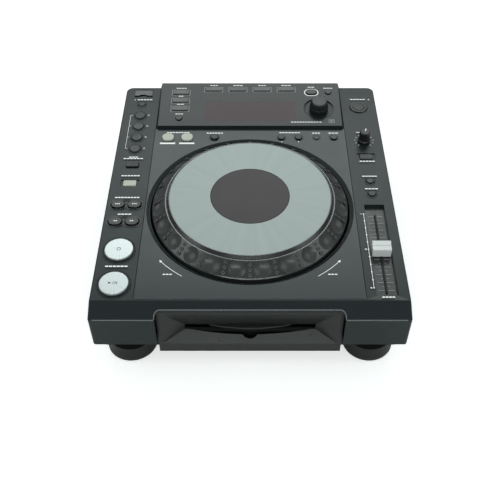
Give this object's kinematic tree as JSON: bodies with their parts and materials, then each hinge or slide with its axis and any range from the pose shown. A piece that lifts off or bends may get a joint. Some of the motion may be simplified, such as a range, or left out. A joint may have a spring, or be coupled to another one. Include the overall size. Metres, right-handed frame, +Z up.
{
  "type": "tabletop dj cd player",
  "caption": "Tabletop disc player with a front disc slot, a large sloped jog dial, side key columns, a tilted display and a tempo slider on big round feet.",
  "frame": {"origin": "on the table under the middle of the bounding box", "axes": "+X the player's right side, +Y from the slot at the front to the sockets at the back, +Z up"},
  "size_m": [0.305, 0.366, 0.1079],
  "materials": {
    "case_grey": "satin",
    "deck_grey": "satin",
    "bezel_grey": "satin",
    "smoked_panel": "gloss",
    "chassis_black": "matte",
    "socket_black": "satin",
    "foot_black": "satin",
    "pad_rubber": "matte",
    "screw_steel": "satin",
    "board_green": "satin",
    "drive_steel": "satin",
    "jog_black": "satin",
    "jog_screen": "gloss",
    "dial_smoke": "satin",
    "plate_silver": "satin",
    "flap_black": "gloss",
    "shaft_steel": "satin",
    "knob_grey": "satin",
    "knob_black": "satin",
    "cap_silver": "satin",
    "key_silver": "satin",
    "key_pearl": "gloss",
    "key_white": "satin",
    "key_black": "satin",
    "key_grey": "satin",
    "roller_rubber": "matte",
    "drive_plastic": "satin"
  },
  "bodies": {
    "base": {"top_cover": "case_grey", "deck_panel": "deck_grey", "display_panel": "case_grey", "display_window": "smoked_panel", "slot_bezel": "bezel_grey", "bottom_chassis": "chassis_black", "rear_sockets": "socket_black", "feet": "foot_black", "foot_pads": "pad_rubber", "case_screws": "screw_steel", "circuit_boards": "board_green", "panel_boards": "board_green", "drive_chassis": "drive_steel", "jog_base": "jog_black", "jog_display": "jog_screen"},
    "jog": {"jog_dial": "dial_smoke", "jog_plate": "plate_silver"},
    "play_button": {"play_button": "key_silver"},
    "cue_button": {"cue_button": "key_silver"},
    "search_back_button": {"search_back_button": "key_pearl"},
    "search_forward_button": {"search_forward_button": "key_pearl"},
    "track_back_button": {"track_back_button": "key_pearl"},
    "track_forward_button": {"track_forward_button": "key_pearl"},
    "direction_button": {"direction_button": "key_white"},
    "beat_select_button": {"beat_select_button": "key_black"},
    "beat_loop_button_4": {"beat_loop_button_4": "key_grey"},
    "beat_loop_button_3": {"beat_loop_button_3": "key_grey"},
    "beat_loop_button_2": {"beat_loop_button_2": "key_grey"},
    "beat_loop_button_1": {"beat_loop_button_1": "key_grey"},
    "usb_stop_button": {"usb_stop_button": "key_grey"},
    "master_tempo_button": {"master_tempo_button": "key_grey"},
    "tempo_range_button": {"tempo_range_button": "key_grey"},
    "jog_mode_button": {"jog_mode_button": "key_black"},
    "eject_button": {"eject_button": "key_black"},
    "loop_in_button": {"loop_in_button": "key_white"},
    "loop_out_button": {"loop_out_button": "key_white"},
    "reloop_button": {"reloop_button": "key_grey"},
    "call_back_button": {"call_back_button": "key_grey"},
    "call_forward_button": {"call_forward_button": "key_grey"},
    "delete_button": {"delete_button": "key_grey"},
    "memory_button": {"memory_button": "key_grey"},
    "menu_button_1": {"menu_button_1": "key_grey"},
    "menu_button_2": {"menu_button_2": "key_grey"},
    "menu_button_3": {"menu_button_3": "key_grey"},
    "menu_button_4": {"menu_button_4": "key_grey"},
    "source_button_1": {"source_button_1": "key_grey"},
    "source_button_2": {"source_button_2": "key_grey"},
    "source_button_3": {"source_button_3": "key_grey"},
    "time_mode_button": {"time_mode_button": "key_grey"},
    "back_button": {"back_button": "key_white"},
    "tag_track_button": {"tag_track_button": "key_grey"},
    "usb_door": {"usb_door": "flap_black"},
    "selector_shaft": {"selector_shaft": "shaft_steel"},
    "selector_knob": {"selector_knob": "knob_grey"},
    "speed_knob": {"speed_knob": "knob_black"},
    "tempo_slider": {"tempo_slider": "cap_silver"},
    "power_button": {"power_button": "key_black"},
    "disc_spindle": {"disc_spindle": "drive_plastic"},
    "laser_sled": {"laser_sled": "drive_plastic"},
    "loading_roller": {"loading_roller": "roller_rubber"}
  },
  "joints": [
    {"name": "jog_turn", "type": "hinge", "parent": "base", "child": "jog", "pos_m": [0, -0.03686, 0.088], "axis": [0, 0, 1], "continuous": true},
    {"name": "play_button_slide", "type": "slide", "parent": "base", "child": "play_button", "axis": [0, 0, -1], "range_m": [0, 0.001], "stiffness_N_per_m": 200, "springref_m": -0.002},
    {"name": "cue_button_slide", "type": "slide", "parent": "base", "child": "cue_button", "axis": [0, 0, -1], "range_m": [0, 0.001], "stiffness_N_per_m": 200, "springref_m": -0.002},
    {"name": "search_back_button_slide", "type": "slide", "parent": "base", "child": "search_back_button", "axis": [0, 0, -1], "range_m": [0, 0.0006], "stiffness_N_per_m": 200, "springref_m": -0.002},
    {"name": "search_forward_button_slide", "type": "slide", "parent": "base", "child": "search_forward_button", "axis": [0, 0, -1], "range_m": [0, 0.0006], "stiffness_N_per_m": 200, "springref_m": -0.002},
    {"name": "track_back_button_slide", "type": "slide", "parent": "base", "child": "track_back_button", "axis": [0, 0, -1], "range_m": [0, 0.0006], "stiffness_N_per_m": 200, "springref_m": -0.002},
    {"name": "track_forward_button_slide", "type": "slide", "parent": "base", "child": "track_forward_button", "axis": [0, 0, -1], "range_m": [0, 0.0006], "stiffness_N_per_m": 200, "springref_m": -0.002},
    {"name": "direction_button_slide", "type": "slide", "parent": "base", "child": "direction_button", "axis": [0, 0, -1], "range_m": [0, 0.0006], "stiffness_N_per_m": 200, "springref_m": -0.002},
    {"name": "beat_select_button_slide", "type": "slide", "parent": "base", "child": "beat_select_button", "axis": [0, 0, -1], "range_m": [0, 0.0006], "stiffness_N_per_m": 200, "springref_m": -0.002},
    {"name": "beat_loop_button_4_slide", "type": "slide", "parent": "base", "child": "beat_loop_button_4", "axis": [0, 0, -1], "range_m": [0, 0.0006], "stiffness_N_per_m": 200, "springref_m": -0.002},
    {"name": "beat_loop_button_3_slide", "type": "slide", "parent": "base", "child": "beat_loop_button_3", "axis": [0, 0, -1], "range_m": [0, 0.0006], "stiffness_N_per_m": 200, "springref_m": -0.002},
    {"name": "beat_loop_button_2_slide", "type": "slide", "parent": "base", "child": "beat_loop_button_2", "axis": [0, 0, -1], "range_m": [0, 0.0006], "stiffness_N_per_m": 200, "springref_m": -0.002},
    {"name": "beat_loop_button_1_slide", "type": "slide", "parent": "base", "child": "beat_loop_button_1", "axis": [0, 0, -1], "range_m": [0, 0.0006], "stiffness_N_per_m": 200, "springref_m": -0.002},
    {"name": "usb_stop_button_slide", "type": "slide", "parent": "base", "child": "usb_stop_button", "axis": [0, 0, -1], "range_m": [0, 0.0006], "stiffness_N_per_m": 200, "springref_m": -0.002},
    {"name": "master_tempo_button_slide", "type": "slide", "parent": "base", "child": "master_tempo_button", "axis": [0, 0, -1], "range_m": [0, 0.0006], "stiffness_N_per_m": 200, "springref_m": -0.002},
    {"name": "tempo_range_button_slide", "type": "slide", "parent": "base", "child": "tempo_range_button", "axis": [0, 0, -1], "range_m": [0, 0.0006], "stiffness_N_per_m": 200, "springref_m": -0.002},
    {"name": "jog_mode_button_slide", "type": "slide", "parent": "base", "child": "jog_mode_button", "axis": [0, 0, -1], "range_m": [0, 0.0006], "stiffness_N_per_m": 200, "springref_m": -0.002},
    {"name": "eject_button_slide", "type": "slide", "parent": "base", "child": "eject_button", "axis": [0, 0, -1], "range_m": [0, 0.0006], "stiffness_N_per_m": 200, "springref_m": -0.002},
    {"name": "loop_in_button_slide", "type": "slide", "parent": "base", "child": "loop_in_button", "axis": [0, 0, -1], "range_m": [0, 0.0006], "stiffness_N_per_m": 200, "springref_m": -0.002},
    {"name": "loop_out_button_slide", "type": "slide", "parent": "base", "child": "loop_out_button", "axis": [0, 0, -1], "range_m": [0, 0.0006], "stiffness_N_per_m": 200, "springref_m": -0.002},
    {"name": "reloop_button_slide", "type": "slide", "parent": "base", "child": "reloop_button", "axis": [0, 0, -1], "range_m": [0, 0.0006], "stiffness_N_per_m": 200, "springref_m": -0.002},
    {"name": "call_back_button_slide", "type": "slide", "parent": "base", "child": "call_back_button", "axis": [0, 0, -1], "range_m": [0, 0.0006], "stiffness_N_per_m": 200, "springref_m": -0.002},
    {"name": "call_forward_button_slide", "type": "slide", "parent": "base", "child": "call_forward_button", "axis": [0, 0, -1], "range_m": [0, 0.0006], "stiffness_N_per_m": 200, "springref_m": -0.002},
    {"name": "delete_button_slide", "type": "slide", "parent": "base", "child": "delete_button", "axis": [0, 0, -1], "range_m": [0, 0.0006], "stiffness_N_per_m": 200, "springref_m": -0.002},
    {"name": "memory_button_slide", "type": "slide", "parent": "base", "child": "memory_button", "axis": [0, 0, -1], "range_m": [0, 0.0006], "stiffness_N_per_m": 200, "springref_m": -0.002},
    {"name": "menu_button_1_slide", "type": "slide", "parent": "base", "child": "menu_button_1", "axis": [0, 0.0847, -0.9964], "range_m": [0, 0.0006], "stiffness_N_per_m": 200, "springref_m": -0.002},
    {"name": "menu_button_2_slide", "type": "slide", "parent": "base", "child": "menu_button_2", "axis": [0, 0.0847, -0.9964], "range_m": [0, 0.0006], "stiffness_N_per_m": 200, "springref_m": -0.002},
    {"name": "menu_button_3_slide", "type": "slide", "parent": "base", "child": "menu_button_3", "axis": [0, 0.0847, -0.9964], "range_m": [0, 0.0006], "stiffness_N_per_m": 200, "springref_m": -0.002},
    {"name": "menu_button_4_slide", "type": "slide", "parent": "base", "child": "menu_button_4", "axis": [0, 0.0847, -0.9964], "range_m": [0, 0.0006], "stiffness_N_per_m": 200, "springref_m": -0.002},
    {"name": "source_button_1_slide", "type": "slide", "parent": "base", "child": "source_button_1", "axis": [0, 0.0847, -0.9964], "range_m": [0, 0.0006], "stiffness_N_per_m": 200, "springref_m": -0.002},
    {"name": "source_button_2_slide", "type": "slide", "parent": "base", "child": "source_button_2", "axis": [0, 0.0847, -0.9964], "range_m": [0, 0.0006], "stiffness_N_per_m": 200, "springref_m": -0.002},
    {"name": "source_button_3_slide", "type": "slide", "parent": "base", "child": "source_button_3", "axis": [0, 0.0847, -0.9964], "range_m": [0, 0.0006], "stiffness_N_per_m": 200, "springref_m": -0.002},
    {"name": "time_mode_button_slide", "type": "slide", "parent": "base", "child": "time_mode_button", "axis": [0, 0.0847, -0.9964], "range_m": [0, 0.0006], "stiffness_N_per_m": 200, "springref_m": -0.002},
    {"name": "back_button_slide", "type": "slide", "parent": "base", "child": "back_button", "axis": [0, 0.0847, -0.9964], "range_m": [0, 0.0006], "stiffness_N_per_m": 200, "springref_m": -0.002},
    {"name": "tag_track_button_slide", "type": "slide", "parent": "base", "child": "tag_track_button", "axis": [0, 0.0847, -0.9964], "range_m": [0, 0.0006], "stiffness_N_per_m": 200, "springref_m": -0.002},
    {"name": "usb_door_turn", "type": "hinge", "parent": "base", "child": "usb_door", "pos_m": [-0.1307, 0.16656, 0.087], "axis": [-1, 0, 0], "range_deg": [0, 95]},
    {"name": "selector_shaft_slide", "type": "slide", "parent": "base", "child": "selector_shaft", "axis": [0, 0.0847, -0.9964], "range_m": [0, 0.0005], "stiffness_N_per_m": 400, "springref_m": -0.002},
    {"name": "selector_knob_turn", "type": "hinge", "parent": "selector_shaft", "child": "selector_knob", "pos_m": [0.0818, 0.12151, 0.10002], "axis": [0, -0.0847, 0.9964], "continuous": true},
    {"name": "speed_knob_turn", "type": "hinge", "parent": "base", "child": "speed_knob", "pos_m": [0.131, 0.06936, 0.093], "axis": [0, 0, 1], "range_deg": [-120, 160]},
    {"name": "tempo_slider_slide", "type": "slide", "parent": "base", "child": "tempo_slider", "axis": [0, 1, 0], "range_m": [-0.05, 0.05]},
    {"name": "power_button_slide", "type": "slide", "parent": "base", "child": "power_button", "axis": [0, -1, 0], "range_m": [0, 0.0025], "stiffness_N_per_m": 300, "springref_m": -0.003},
    {"name": "disc_spindle_turn", "type": "hinge", "parent": "base", "child": "disc_spindle", "pos_m": [0, -0.09096, 0.0387], "axis": [0, 0, 1], "continuous": true},
    {"name": "laser_sled_slide", "type": "slide", "parent": "base", "child": "laser_sled", "axis": [1, 0, 0], "range_m": [0, 0.032]},
    {"name": "loading_roller_turn", "type": "hinge", "parent": "base", "child": "loading_roller", "pos_m": [0, -0.14696, 0.0376], "axis": [1, 0, 0], "continuous": true}
  ]
}
